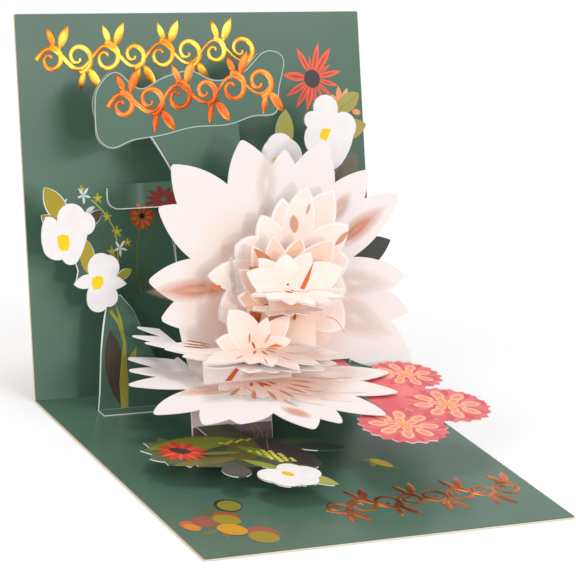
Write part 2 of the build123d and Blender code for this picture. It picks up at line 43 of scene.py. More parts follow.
class Finish:
    """A material built up node by node, each call giving back the socket to link onwards."""

    def __init__(self, name):
        self.material = bpy.data.materials.new(name)
        self.material.use_nodes = True
        self.tree = self.material.node_tree
        self.tree.nodes.clear()

    def node(self, kind, output, settings=None, **inputs):
        """Adds a node. An input goes by its socket's name, or by i and its place."""
        made = self.tree.nodes.new("ShaderNode" + kind)
        for key, value in (settings or {}).items():
            setattr(made, key, value)
        for key, value in inputs.items():
            by_place = key[0] == "i" and key[1:].isdigit()
            socket = made.inputs[int(key[1:]) if by_place else key.replace("_", " ")]
            if isinstance(value, bpy.types.NodeSocket):
                self.tree.links.new(value, socket)
            else:
                socket.default_value = value
        return made.outputs[output]

    def place(self):
        return self.node("TexCoord", "Object")

    def grain(self, scale, detail=2.0):
        return self.node("TexNoise", 0, None, Vector=self.place(), Scale=scale, Detail=detail)

    def blend(self, factor, first, second, mode="MIX"):
        return self.node("Mix", 2, {"data_type": "RGBA", "blend_type": mode}, i0=factor, i6=first, i7=second)

    def card(self, colour, rough, gloss, relief=0.02, grain=900.0, metal=0.0, shown=None):
        """Closes the material as card with a fine grain; shown is how much of it covers what lies below."""
        height = self.grain(grain, 3.0)
        bump = self.node("Bump", 0, None, Strength=relief, Distance=0.001, Height=height)
        skin = self.node("BsdfPrincipled", 0, None, Base_Color=colour, Roughness=rough, Metallic=metal,
                         Normal=bump, IOR=1.45, Specular_IOR_Level=gloss)
        if shown is not None:
            clear = self.node("BsdfTransparent", 0)
            skin = self.node("MixShader", 0, None, i0=shown, i1=clear, i2=skin)
        end = self.tree.nodes.new("ShaderNodeOutputMaterial")
        self.tree.links.new(skin, end.inputs["Surface"])
        return self.material


def dress(sheet, material):
    """Gives a sheet of the card its finish."""
    mesh = nodes[sheet].data
    mesh.materials.clear()
    mesh.materials.append(material)


board = Finish("cover board")
board_tone = board.blend(board.grain(60.0, 4.0), paint("E2D7C4"), paint("D6C7AE"))
dress("outer_cover", board.card(board_tone, rough=0.75, gloss=0.2, relief=0.08, grain=2500.0))

# Liner: the single sheet glued inside the cover and printed all over in a glossy grey-green.
# Its cut edges show a thin line of brown, where the glue meets the board.
LEAN = math.radians(19.6)
PANEL_NORMAL = Vector((0, -math.cos(LEAN), math.sin(LEAN)))
SKY = Vector((0, 0, 1))


def span(finish, value, low, high, to_low=0.0, to_high=1.0):
    """Maps one range of a value onto another, held at both ends."""
    return finish.node("MapRange", 0, None, i0=value, i1=low, i2=high, i3=to_low, i4=to_high)


def clouded(finish, scale, first, second, low=0.35, high=0.65, detail=2.0):
    """Two tones that drift into each other, as on a large flat print."""
    return finish.blend(span(finish, finish.grain(scale, detail), low, high), paint(first), paint(second))


def reckon(finish, operation, first, second):
    """One step of arithmetic between two values."""
    return finish.node("Math", 0, {"operation": operation}, i0=first, i1=second)


def facing(finish, direction):
    """How squarely a face looks in a direction, from -1 to 1."""
    normal = finish.node("NewGeometry", "True Normal")
    return finish.node("VectorMath", 1, {"operation": "DOT_PRODUCT"}, i0=normal, i1=tuple(direction))


def is_front(finish, turn=0.9):
    """1 on a face that looks out of the open card, along the back panel's normal or upwards."""
    best = reckon(finish, "MAXIMUM", facing(finish, PANEL_NORMAL), facing(finish, SKY))
    return reckon(finish, "GREATER_THAN", best, turn)


def two_sided(name, front, back, edge, rough, gloss, turn=0.9):
    """Sheet with a printed front, a plain back and cut edges in a tone of their own."""
    finish = Finish(name)
    least = reckon(finish, "MINIMUM", facing(finish, PANEL_NORMAL), facing(finish, SKY))
    is_back = reckon(finish, "LESS_THAN", least, -turn)
    tone = finish.blend(is_front(finish, turn), paint(edge), front(finish))
    tone = finish.blend(is_back, tone, paint(back))
    return finish.card(tone, rough=rough, gloss=gloss)


def green_print(finish):
    return clouded(finish, 14.0, "446555", "4E705F", 0.3, 0.7)


dress("inner_liner", two_sided("green liner", green_print, "EFE6D6", "A98C66", rough=0.26, gloss=0.35))

# Prints on the liner: flowers, stars and leaves on the back panel, loose petals on the base, in glossy ink.
# Each is a flat shape a hair above its sheet, placed in millimetres: X across the card, rise up a leaning
# sheet from the table, reach out over the table from the gutter, where the card is creased.
MM = 0.001
SHEET = 0.35
GUTTER_Y = 74.5
FLOOR_Z = 0.8
PANEL_UP = Vector((0, math.sin(LEAN), math.cos(LEAN)))
INK_LIFT, LAYER_LIFT, SHAPE_LIFT = 0.05, 0.03, 0.02


def upright(reach, thickness=SHEET):
    """Place on an upright sheet's front: X, rise and lift to a point in metres."""
    def at(x, rise, lift=0.0):
        foot = Vector((x, GUTTER_Y - reach, FLOOR_Z))
        return (foot + PANEL_UP * rise + PANEL_NORMAL * (thickness + lift)) * MM
    return at


def flat(rise, thickness=SHEET):
    """Place on a flat sheet's top: X, reach and lift to a point in metres."""
    def at(x, reach, lift=0.0):
        foot = Vector((x, GUTTER_Y - reach, FLOOR_Z))
        return (foot + PANEL_UP * rise + SKY * (thickness + lift)) * MM
    return at


def around(x, y, out, turn, squash=1.0):
    """Point at a distance and a turn in degrees from a middle."""
    angle = math.radians(turn)
    return (x + out * math.cos(angle), y + out * (math.sin(angle) * squash))


def turned(outline, x, y, turn):
    """An outline drawn about its own middle, turned in degrees and set down at a place."""
    cos, sin = math.cos(math.radians(turn)), math.sin(math.radians(turn))
    return [(x + u * cos - v * sin, y + u * sin + v * cos) for u, v in outline]


def oval(x, y, wide, high=None, turn=0.0):
    """Oval by its half width and half height."""
    high = wide if high is None else high
    steps = [math.tau * i / 24 for i in range(24)]
    return turned([(wide * math.cos(step), high * math.sin(step)) for step in steps], x, y, turn)


def blade(root, tip, bulge):
    """Leaf or petal between two points, both of its edges arcs with the same bulge."""
    run, lift = tip[0] - root[0], tip[1] - root[1]
    radius = (0.25 + bulge * bulge) / (2 * bulge)
    left, right = [], []
    for t in [i / 8 for i in range(9)]:
        out = math.sqrt(max(radius * radius - (t - 0.5) ** 2, 0)) - radius + bulge
        left.append((root[0] + run * t - lift * out, root[1] + lift * t + run * out))
        right.append((root[0] + run * t + lift * out, root[1] + lift * t - run * out))
    return left + right[-2:0:-1]


def along(points):
    """Smooth line through the points, six steps from each to the next."""
    line = []
    last = len(points) - 1
    for i in range(last):
        four = (points[max(i - 1, 0)], points[i], points[i + 1], points[min(i + 2, last)])
        for t in [j / 6 for j in range(6)]:
            line.append(tuple(0.5 * (2 * b + (c - a) * t + (2 * a - 5 * b + 4 * c - d) * t * t
                                     + (3 * b - a - 3 * c + d) * t ** 3) for a, b, c, d in zip(*four)))
    return line + [points[-1]]


def stroke(points, width, tip_width=None):
    """Band along a smooth line, tapering to its tip."""
    line = along(points)
    last = len(line) - 1
    tip_width = width if tip_width is None else tip_width
    left, right = [], []
    for i, (x, y) in enumerate(line):
        ax, ay = line[max(i - 1, 0)]
        bx, by = line[min(i + 1, last)]
        length = math.hypot(bx - ax, by - ay) or 1
        half = (width + (tip_width - width) * i / last) / 2
        left.append((x - (by - ay) / length * half, y + (bx - ax) / length * half))
        right.append((x + (by - ay) / length * half, y - (bx - ax) / length * half))
    return left + right[::-1]


def daisy(x, y, reach_in, reach_out, count, bulge, start=0.0, squash=1.0, uneven=0.12):
    """Ring of pointed petals, some a little shorter than others."""
    petals = []
    for i in range(count):
        turn = start + 360 * i / count
        far = reach_out * (1 - uneven * ((i * 7) % 3) / 2)
        petals.append(blade(around(x, y, reach_in, turn, squash), around(x, y, far, turn, squash), bulge))
    return petals


def inked(layer, outlines, code):
    """Outlines of one colour, for one layer of a print."""
    return [(layer, outline, code) for outline in outlines]


def ink_finish(name, rough, gloss):
    """Printing ink: the colour and cover of each shape, with a slight mottle."""
    finish = Finish(name)
    ink = finish.tree.nodes.new("ShaderNodeAttribute")
    ink.attribute_name = "ink"
    mottle = span(finish, finish.grain(220.0, 3.0), 0.35, 0.65, 0.97, 1.02)
    tone = finish.blend(1.0, ink.outputs["Color"], mottle, "MULTIPLY")
    return finish.card(tone, rough=rough, gloss=gloss, shown=ink.outputs["Alpha"])


def tint_at(code, x, y):
    """Colour of a print at a point: one code, or two that change over with the distance from a point."""
    if isinstance(code, str):
        return paint(code)
    (mid_x, mid_y), near, first, far, second = code
    t = min(max((math.hypot(x - mid_x, y - mid_y) - near) / (far - near), 0), 1)
    return tuple(a + (b - a) * t for a, b in zip(paint(first), paint(second)))


def lay(name, mesh, material):
    """Fixes a print or a foil to the card."""
    mesh.materials.append(material)
    piece = bpy.data.objects.new(name, mesh)
    bpy.context.scene.collection.objects.link(piece)
    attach(piece, "root")


def print_on(name, at, shapes, material):
    """One mesh of printed shapes: each is (layer, outline, colour) or (layer, outline, colour, softness)."""
    corners, faces, inks = [], [], []
    for index, (layer, outline, code, *soft) in enumerate(shapes):
        lift = INK_LIFT + LAYER_LIFT * layer + SHAPE_LIFT * index / len(shapes)
        base = len(corners)
        count = len(outline)
        corners += [at(x, y, lift) for x, y in outline]
        if not soft:
            faces.append(list(range(base, base + count)))
            inks.append([tint_at(code, x, y) for x, y in outline])
            continue
        full = paint(code)
        clear = (*full[:3], 0.0)
        mid_x = sum(p[0] for p in outline) / count
        mid_y = sum(p[1] for p in outline) / count
        corners += [at(mid_x + (x - mid_x) * (1 - soft[0]), mid_y + (y - mid_y) * (1 - soft[0]), lift)
                    for x, y in outline]
        faces.append(list(range(base + count, base + 2 * count)))
        inks.append([full] * count)
        for i in range(count):
            j = (i + 1) % count
            faces.append([base + i, base + j, base + count + j, base + count + i])
            inks.append([clear, clear, full, full])
    mesh = bpy.data.meshes.new(name)
    mesh.from_pydata([tuple(p) for p in corners], [], faces)
    ink = mesh.color_attributes.new("ink", "FLOAT_COLOR", "CORNER")
    ink.data.foreach_set("color", [v for face in inks for corner in face for v in corner])
    lay(name, mesh, material)


glossy_ink = ink_finish("glossy ink", 0.26, 0.35)
on_back = upright(0, 0)
on_base = flat(0, 0)

RED_HEART = (53.2, 121.7)
red_daisy = []
for turn, far, bulge in (
        (77, 15.0, 0.10), (54, 15.2, 0.12), (12, 13.8, 0.10), (-15, 12.4, 0.09), (-41, 11.2, 0.09),
        (-62, 9.6, 0.08), (-86, 11.4, 0.10), (-104, 13.8, 0.11), (-125, 14.6, 0.10), (-151, 14.4, 0.11),
        (173, 13.8, 0.15), (118, 14.2, 0.11), (97, 9.4, 0.08), (33, 10.4, 0.08)):
    petal = blade(around(*RED_HEART, 1.6, turn), around(*RED_HEART, far, turn), bulge)
    middle_stripe = blade(around(*RED_HEART, 3.4, turn), around(*RED_HEART, 0.8 * far, turn), 0.45 * bulge)
    red_daisy += [(0, petal, "F2603C"), (1, middle_stripe, "C4392C")]
red_daisy.append((3, oval(53.0, 121.6, 3.6, 3.8, 20), "3A2A2E"))
half_daisy = [(0, blade((65.5, 109.6), (64.9, 118.6), 0.16), "F0996A"),
              (0, blade((65.9, 109.6), (69.2, 117.6), 0.16), "F6A97C"),
              (0, blade((65.0, 109.8), (61.5, 115.2), 0.2), "F0996A"),
              (1, oval(66.0, 112.2, 0.8, 0.6), "3A3A2E"),
              (0, blade((70.8, 108.0), (75.0, 107.2), 0.3), "F0996A")]
back_leaf = [(1, blade((63.4, 107.6), (74.6, 115.4), 0.27), "A9A052"),
             (2, stroke([(63.6, 107.8), (69, 111.4), (74.4, 115.2)], 0.3), "938C45")]
orange_daisy = inked(0, daisy(-26.6, 68.9, 1.0, 6.4, 9, 0.22, 10, 0.95), "B4552F")
orange_daisy += inked(1, daisy(-26.6, 68.9, 1.4, 5.6, 9, 0.16, 30, 0.95), "CC6E43")
orange_daisy += [(2, oval(-26.6, 69.2, 1.1, 1.0), "2E2320")]
dark_daisy = inked(0, daisy(-17.4, 75.2, 0.8, 5.8, 9, 0.16, 4, 0.95), "7E3028")
long_stem = [(-27.7, 64), (-29.2, 58.5), (-29.9, 51), (-29.8, 45), (-28.4, 38.5)]
short_stem = [(-19.6, 69), (-22.4, 62.6), (-24.7, 56), (-26.3, 50), (-27.2, 44)]
vine = [(-47.8, 76.3), (-43.4, 71.8), (-40.4, 67.4), (-38.6, 63.6), (-37.9, 58), (-38.0, 50.6)]
stems = [(0, stroke(long_stem, 0.8, 0.9), "6E7648"), (0, stroke(short_stem, 0.7, 0.7), "626C44"),
         (0, stroke(vine, 0.5, 0.5), "B9BF5A")]
florets = []
for x, y, size in ((-45.2, 76.8, 2.3), (-41.6, 69.4, 2.2), (-37.7, 63.4, 2.6), (-40.4, 55.6, 2.4),
                   (-33.4, 59.0, 1.9), (-51.9, 80.4, 1.9)):
    florets += inked(0, daisy(x, y, 0.2, size, 5, 0.24, 90), "A9A92C")
    florets += [(1, oval(x, y, size * 0.4, size * 0.36), "C4C03C")]
stars = []
for x, y, size, code in ((-36.8, 57.0, 3.6, "F3EFE6"), (-59.7, 75.2, 2.6, "D8E6F4"),
                         (-51.2, 78.2, 3.6, "DCEAF6")):
    stars += inked(2, daisy(x, y, 0.0, size, 5, 0.15, 54, 1.0, 0.2), code)
stars += [(2, blade((-50.9, 71.3), (-46.7, 73.7), 0.2), "DCEAF6")]
print_on("back_panel_print", on_back,
         red_daisy + half_daisy + back_leaf + orange_daisy + dark_daisy + stems + florets + stars,
         glossy_ink)

fallen = [(layer, oval(*shape), code) for layer, shape, code in (
    (0, (-68.2, 122.2, 4.2, 3.8, 60), "C2643A"), (1, (-68.4, 124.0, 3.2, 2.6, 55), "D08A2A"),
    (0, (-62.0, 120.6, 4.6, 4.9, 55), "9A5540"), (1, (-52.0, 118.0, 5.0, 3.8, 35), "9A5038"),
    (2, (-53.4, 121.0, 5.2, 4.3, 40), "9A8C20"), (3, (-55.3, 129.0, 5.6, 4.6, 40), "D2941C"),
    (0, (-47.3, 109.6, 5.2, 5.8, 40), "33362A"), (1, (-46.9, 109.8, 4.4, 4.6, 40), "8A8330"),
    (0, (-45.6, 134.0, 6.0, 5.2, 35), "9C5A45"), (1, (-47.0, 137.4, 5.6, 4.9, 30), "9C8826"))]
fallen += [(layer, blade(*shape), code) for layer, shape, code in (
    (0, ((-59.5, 127.5), (-68.0, 131.0), 0.16), "6C6B38"),
    (0, ((-59.2, 130.4), (-60.2, 136.0), 0.22), "6C6B38"),
    (0, ((-54.0, 109.5), (-58.6, 116.4), 0.24), "5C6238"), (1, ((26.3, 82.2), (31.6, 91.6), 0.24), "D8B41E"),
    (0, ((30.0, 88.2), (22.4, 81.2), 0.12), "8A8A3A"), (0, ((27.4, 84.0), (23.8, 89.6), 0.25), "8A8A3A"),
    (0, ((29.0, 89.4), (33.6, 94.2), 0.1), "8A8A3A"))]
print_on("base_panel_print", on_base, fallen, glossy_ink)

# Foil flourishes on the liner: scrolling stems with leaves, stamped in gold on the back panel and in
# copper on the base. The foil stands up along its middle, so that it catches the light.
RIM_LIFT = 0.04
RIDGE = 0.28


def foil_finish(name, light, dark):
    finish = Finish(name)
    tone = clouded(finish, 75.0, dark, light, 0.36, 0.62, 1.5)
    return finish.card(tone, rough=0.28, gloss=0.5, relief=0.05, metal=0.85)


def foil(name, at, outlines, material):
    """Raised foil: every outline's rim lies on the sheet and its middle line stands up."""
    corners, faces = [], []
    for outline in outlines:
        base = len(corners)
        half = len(outline) // 2
        last = len(outline) - 1
        spine = [((outline[i][0] + outline[-1 - i][0]) / 2, (outline[i][1] + outline[-1 - i][1]) / 2)
                 for i in range(half)]
        corners += [at(x, y, RIM_LIFT) for x, y in outline]
        corners += [at(x, y, RIM_LIFT + RIDGE * (0.3 if i in (0, half - 1) else 1))
                    for i, (x, y) in enumerate(spine)]
        top = base + len(outline)
        for i in range(half - 1):
            faces.append([base + i, top + i, top + i + 1, base + i + 1])
            faces.append([base + last - i, base + last - i - 1, top + i + 1, top + i])
        faces.append([base, base + last, top])
        faces.append([base + half - 1, top + half - 1, base + half])
    mesh = bpy.data.meshes.new(name)
    mesh.from_pydata([tuple(p) for p in corners], [], faces)
    mesh.shade_smooth()
    lay(name, mesh, material)


def scroll(x, y, size, start, turn, width):
    """Curl that winds in from its outer end to a small eye."""
    points = [around(x, y, size * (1 - t) ** 0.8 + size * 0.12, start + turn * t)
              for t in [i / 14 for i in range(15)]]
    return stroke(points, width, width * 0.45)


def open_blade(root, tip, bulge):
    """Leaf as two sides that run from root to tip, for raising along its middle."""
    ring = blade(root, tip, bulge)
    half = len(ring) // 2 + 1
    return ring[:half] + [ring[half - 1]] + ring[half:] + [ring[0]]


def flourish(start, end, height, waves, width):
    """Wavy stem from start to end, with a curl and a pair of leaves in every half wave."""
    run = (end[0] - start[0], end[1] - start[1])
    length = math.hypot(*run)
    along_x, along_y = run[0] / length, run[1] / length
    swing = 0.17 * height

    def beside(t, off):
        """Point at a share of the way along the stem, off to its left."""
        return (start[0] + run[0] * t - along_y * off, start[1] + run[1] * t + along_x * off)

    tilt = math.degrees(math.atan2(along_y, along_x))
    steps = 12 * waves
    stem = [beside(i / steps, swing * math.sin(math.tau * waves * i / steps)) for i in range(steps + 1)]
    shapes = [stroke(stem, width * 0.8, width * 0.4)]
    for i in range(2 * waves):
        side = 1 if i % 2 == 0 else -1
        t = (i + 0.5) / (2 * waves)
        size = 0.22 * height * (1.0 if i % 3 else 0.85)
        middle = beside(t, side * swing * 0.2)
        inwards = side * (-size * 0.2)
        shapes.append(scroll(middle[0] - along_y * inwards, middle[1] + along_x * inwards,
                             size, tilt + side * 90, -side * 420, width))
        shapes.append(open_blade(beside(t + 0.16 / waves, side * 0.14 * height),
                                 beside(t + 0.36 / waves, side * 0.52 * height), 0.17))
        shapes.append(open_blade(beside(t + 0.10 / waves, side * swing),
                                 beside(t - 0.02 / waves, side * 0.50 * height), 0.15))
    return shapes


gold_foil = foil_finish("gold foil", "F2BA48", "C06A16")
copper_foil = foil_finish("copper foil", "D0702E", "984014")
foil("back_panel_foil", on_back, flourish((-68, 131), (27, 134), 25, 4, 2.3), gold_foil)
foil("base_panel_foil", on_base, flourish((-14, 121), (69, 119), 26, 4, 2.1), copper_foil)

# Outer petals: the largest petal sheet, of matt card folded once across the flower and carried by a
# riser and a spacer. It is printed blush white, peach towards the middle, with soft streaks down a few
# petals and more small petals drawn round the heart of its flat half. The peach round the middle is print
# and is also drawn out wide as painted warm shade, and two soft peach patches on the flat half are painted
# warm shade.
CARD_WIDTH = 152.0
OUTER_REACH, OUTER_RISE = 38.8, 21.8
PETAL_BACK = "F6F0EE"
PALE, PEACH, DEEP = "EEE9E9", "F2CFBA", "E4A587"
matt_ink = ink_finish("matt ink", 0.6, 0.25)


def petal_finish(name, x, rise, reach, stops):
    """Petal card: rings of colour about the flower's middle, and a pale back and edges."""
    finish = Finish(name)
    middle = (Vector((x, GUTTER_Y - reach, FLOOR_Z)) + PANEL_UP * rise) * MM
    distance = finish.node("VectorMath", 1, {"operation": "DISTANCE"}, i0=finish.place(), i1=tuple(middle))
    far = stops[-1][0]
    waver = span(finish, finish.grain(55.0, 2.0), 0.3, 0.7, -0.1, 0.1)
    share = reckon(finish, "ADD", reckon(finish, "MULTIPLY", distance, 1 / (far * MM)), waver)
    ramp = finish.tree.nodes.new("ShaderNodeValToRGB")
    finish.tree.links.new(share, ramp.inputs[0])
    while len(ramp.color_ramp.elements) < len(stops):
        ramp.color_ramp.elements.new(0.5)
    for element, (radius, code) in zip(ramp.color_ramp.elements, stops):
        element.position = radius / far
        element.color = paint(code)
    tone = finish.blend(is_front(finish), paint(PETAL_BACK), ramp.outputs[0])
    return finish.card(tone, rough=0.62, gloss=0.25)


def petal_ring(heart, turn, length, width, belly_share, inset):
    """Outline of one cut petal, drawn in from its edge."""
    length, half = length - 2.2 * inset, width / 2 - inset
    belly, root = length * belly_share, half * 0.3
    tip_radius = ((length - belly) ** 2 + half ** 2) / (2 * half)
    root_radius = (belly ** 2 + (half - root) ** 2) / (2 * (half - root))
    ring = []
    for i in range(21):
        u = length * (1 - abs(i - 10) / 10)
        radius = root_radius if u < belly else tip_radius
        v = half - radius + math.sqrt(max(radius ** 2 - (u - belly) ** 2, 0))
        ring.append((u, v if i < 10 else -v))
    ring[10] = (length, 0)
    return turned(ring, *heart, turn)


def above(outline, line):
    """The part of an outline that lies past the fold line."""
    kept = []
    for (ax, ay), (bx, by) in zip(outline, outline[1:] + outline[:1]):
        if ay >= line:
            kept.append((ax, ay))
        if (ay >= line) != (by >= line):
            kept.append((ax + (bx - ax) * (line - ay) / (by - ay), line))
    return kept


def petal_prints(heart, fold, table, belly_share, rim, tones, insets=(0.15, 0.55)):
    """Drawn petals, each with a pale rim and a fill that deepens towards the root.

    A row of the table is a petal's turn in degrees, and its length and width as shares of the card's width.
    """
    shapes = []
    for index, (turn, length, width) in enumerate(table):
        length, width = length * CARD_WIDTH, width * CARD_WIDTH
        root_tone, tip_tone = tones[index % len(tones)]
        fill = (heart, length * 0.25, root_tone, length * 0.9, tip_tone)
        for over, (inset, code) in enumerate(zip(insets, (rim, fill))):
            outline = petal_ring(heart, turn, length, width, belly_share, inset)
            shapes.append((2 * (index % 2) + over, above(outline, fold), code))
    return shapes


def slits(heart, near, far, bulge, turns, code, layer=5):
    """Narrow pointed gaps that run out from a flower's middle."""
    gaps = [blade(around(*heart, near, turn), around(*heart, far, turn), bulge) for turn in turns]
    return inked(layer, gaps, code)


# The peach ring, out to 27 mm, is part print and part painted warm shade where the middle petals shade this
# sheet.
dress("outer_petals", petal_finish("outer petal card", 8, 45, 42,
                                   [(0, DEEP), (12, PEACH), (27, "F3DDD1"), (42, PALE)]))
SOFT = 0.95
streaks = [(layer, blade(*shape), code, SOFT) for layer, shape, code in (
    (0, ((-4, 52.5), (-45, 52.8), 0.12), "EDB9A5"), (1, ((-10, 52.3), (-36, 52.6), 0.10), "E8AD96"),
    (0, ((36, 64.5), (64, 81.6), 0.15), "E8AF9B"), (1, ((41, 67.2), (57, 77.6), 0.12), "E09C85"),
    (0, ((36, 74), (48, 88), 0.20), "EAC2B2"), (0, ((8, 76), (12, 108), 0.16), "F1E3DC"),
    (0, ((28, 47), (64, 29), 0.20), "F2E3DB"), (0, ((28, 53), (66, 50), 0.16), "F2E3DB"))]
print_on("outer_petal_streaks", upright(OUTER_REACH), streaks, matt_ink)
LOW_HEART = (-6, 51)
LOW_RING = [(16, 0.24, 0.070), (32, 0.29, 0.080), (49, 0.275, 0.080), (67, 0.235, 0.076), (88, 0.180, 0.070),
            (108, 0.150, 0.064), (130, 0.145, 0.062), (152, 0.150, 0.060)]
# The two soft peach ovals are painted warm shade where the middle petals shade the flat half; the rest are
# printed streaks, petals and slits.
lower_prints_and_shade = [(0, oval(-4, 60, 30, 17), "F6E0D4", SOFT), (0, oval(24, 54, 22, 13), "F8E9E1", SOFT),
               (1, blade((-10, 80), (-3, 95), 0.26), "E6A58D", SOFT),
               (0, blade((-16, 56), (-46, 63), 0.16), "E6BCA8", SOFT),
               (1, blade((0, 60), (14, 80), 0.2), "E8B096", SOFT)]
low_petals = petal_prints(LOW_HEART, 54.6, LOW_RING, 0.6, "FBF3EF",
                          [("EFC0A5", "F6E2D8"), ("F2CDB8", "F8EAE3")], (0.1, 0.55))
lower_prints_and_shade += [(layer + 2, outline, tone) for layer, outline, tone in low_petals]
lower_prints_and_shade += slits(LOW_HEART, 6, 11, 0.14, (60, 96, 122), "C9693A", 6)
lower_prints_and_shade += slits(LOW_HEART, 14, 24, 0.08, (26, 42, 58, 76, 95, 116, 138), "D98C66", 6)
lower_prints_and_shade += [(6, stroke([(-14.4, 59.5), (-13.6, 64), (-14.6, 69.6)], 0.7, 0.3), "DD9A72"),
                (6, blade((-7.6, 56), (-3.4, 61.6), 0.16), "C9602C"),
                (6, stroke([(7.6, 67), (10.4, 69.4), (13.6, 70.4)], 0.6, 0.3), "DB9068"),
                (6, stroke([(0.6, 69), (3.6, 72), (8.4, 73.6)], 0.6, 0.3), "DB9068"),
                (6, stroke([(-5.4, 75), (-4.6, 79), (-3.2, 82.6)], 0.6, 0.3), "DB9068"),
                (6, stroke([(16, 56), (24, 59), (33, 59)], 0.5, 0.3), "DFA080"),
                (6, stroke([(-18, 60), (-24, 63), (-32, 64)], 0.5, 0.3), "E0A484")]
print_on("lower_petal_prints_and_shade", flat(OUTER_RISE), lower_prints_and_shade, matt_ink)

# Middle petals: the second petal sheet, folded the same way and held in front of the first by a riser.
# It is whiter at its tips and peach towards its fold, and each cut petal carries a drawn one with a
# white rim. Small rust and peach gaps show where petals part.
MIDDLE_REACH, MIDDLE_RISE = 48, 33
BLUSH, RUST = "F1E0D8", "C05A28"
MIDDLE_RIM = "FAF4F1"
MIDDLE_UP = [(149, 0.165, 0.110), (177, 0.225, 0.085), (207, 0.222, 0.125), (112, 0.170, 0.085),
             (90, 0.200, 0.080), (72, 0.240, 0.090), (55, 0.262, 0.105), (33, 0.225, 0.095),
             (10, 0.190, 0.100), (-16, 0.180, 0.110), (-42, 0.215, 0.120)]
MIDDLE_FLAT = [(227, 0.318, 0.060), (214, 0.312, 0.055), (206, 0.274, 0.060), (198, 0.224, 0.070),
               (183, 0.190, 0.080), (158, 0.180, 0.085), (120, 0.145, 0.085), (92, 0.140, 0.080),
               (68, 0.160, 0.080), (48, 0.195, 0.085), (32, 0.215, 0.080), (12, 0.235, 0.090)]
dress("middle_petals", petal_finish("middle petal card", 8, 42, 50,
                                    [(0, DEEP), (14, PEACH), (26, BLUSH), (42, PALE)]))
middle_up = petal_prints((12.16, 59.0), 33.1, MIDDLE_UP, 0.58, MIDDLE_RIM,
                         [("F6D2BD", "F7E6DD"), ("F6DCCE", "F8ECE6")], (0.2, 0.65))
middle_up += [(5, blade((16.6, 75.2), (16.4, 82.4), 0.26), "D79E88"),
              (5, blade((22.2, 82.2), (24.0, 86.6), 0.14), "DCA792"),
              (5, blade((34.0, 69.6), (40.6, 75.0), 0.13), "D19A87"),
              (5, blade((-5.5, 42.4), (0.8, 46.4), 0.16), RUST),
              (5, [(-20.6, 56.9), (-16.4, 57.0), (-16.8, 55.2), (-20.0, 55.4)], "DD7B40"),
              (5, [(-12.6, 68.2), (-10.6, 69.4), (-10.0, 52), (-12, 53)], "E6D8DA", 0.5)]
print_on("middle_petal_print", upright(MIDDLE_REACH), middle_up, matt_ink)
middle_low = petal_prints((-8.06, 55.45), 48.4, MIDDLE_FLAT, 0.58, MIDDLE_RIM,
                          [("F4CBB5", "F7E8E0"), ("F6DACC", "F8EEE9")], (0.2, 0.6))
MIDDLE_LOW_HEART = (-8, 55.4)
middle_low += slits(MIDDLE_LOW_HEART, 8, 15, 0.09, (20, 40, 58, 80, 105, 140), "D58358")
middle_low += slits(MIDDLE_LOW_HEART, 16, 27, 0.05, (205, 212, 220), "B9653F")
print_on("middle_petal_low_print", flat(MIDDLE_RISE), middle_low, matt_ink)

# Inner, front and top petals: three small folded flowers, each cut from one sheet with its own strut and
# glued to the sheet behind. Each petal is printed peach within a white rim, with rust where petals part.
INNER_X, INNER_REACH, INNER_RISE = 5.55, 55.0, 50.5
FRONT_X, FRONT_REACH, FRONT_RISE = -7.45, 59.0, 35.8
TOP_X, TOP_REACH, TOP_RISE = 5.0, 62.0, 58.0
BELLY_SHARE = 0.42
RIM, TOP_RIM = "F7F1EE", "F6F0ED"
INNER_UP = [(168, 0.125, 0.075), (140, 0.150, 0.075), (115, 0.172, 0.070), (94, 0.180, 0.080),
            (68, 0.185, 0.085), (44, 0.228, 0.105), (16, 0.180, 0.080)]
INNER_FLAT = [(165, 0.095, 0.060), (135, 0.100, 0.055), (100, 0.085, 0.050), (65, 0.095, 0.055),
              (35, 0.110, 0.060), (8, 0.120, 0.065)]
FRONT_UP = [(166, 0.120, 0.065), (126, 0.128, 0.085), (88, 0.064, 0.040), (68, 0.086, 0.045),
            (38, 0.124, 0.062), (10, 0.100, 0.045)]
FRONT_FLAT = [(184, 0.155, 0.070), (157, 0.200, 0.080), (127, 0.118, 0.070), (100, 0.125, 0.065),
              (76, 0.160, 0.070), (52, 0.175, 0.075), (33, 0.195, 0.070), (10, 0.170, 0.065)]
TOP_UP = [(176, 0.090, 0.050), (154, 0.124, 0.070), (131, 0.116, 0.062), (90, 0.096, 0.076),
          (52, 0.120, 0.072), (17, 0.172, 0.092)]
TOP_FLAT = [(172, 0.110, 0.055), (145, 0.100, 0.060), (112, 0.105, 0.055), (82, 0.120, 0.060),
            (55, 0.130, 0.060), (30, 0.150, 0.065), (8, 0.160, 0.060)]
dress("inner_petals", petal_finish("inner petal card", 5.5, INNER_RISE, INNER_REACH,
                                   [(0, RUST), (5, DEEP), (10, "EFCDB6"), (18, "F1DCD0")]))
dress("front_petals", petal_finish("front petal card", -7.5, FRONT_RISE, FRONT_REACH,
                                   [(0, RUST), (5, DEEP), (9, "E8BFA8"), (18, "EBD5C9")]))
dress("top_petals", petal_finish("top petal card", 5, TOP_RISE, TOP_REACH,
                                 [(0, RUST), (3, DEEP), (9, "EBCDBD"), (18, "EDDDD4")]))
inner_up = petal_prints((INNER_X, INNER_RISE), 50.6, INNER_UP, BELLY_SHARE, RIM,
                        [("F0B594", "F4CDB2"), ("F2C2A4", "F5DAC8")])
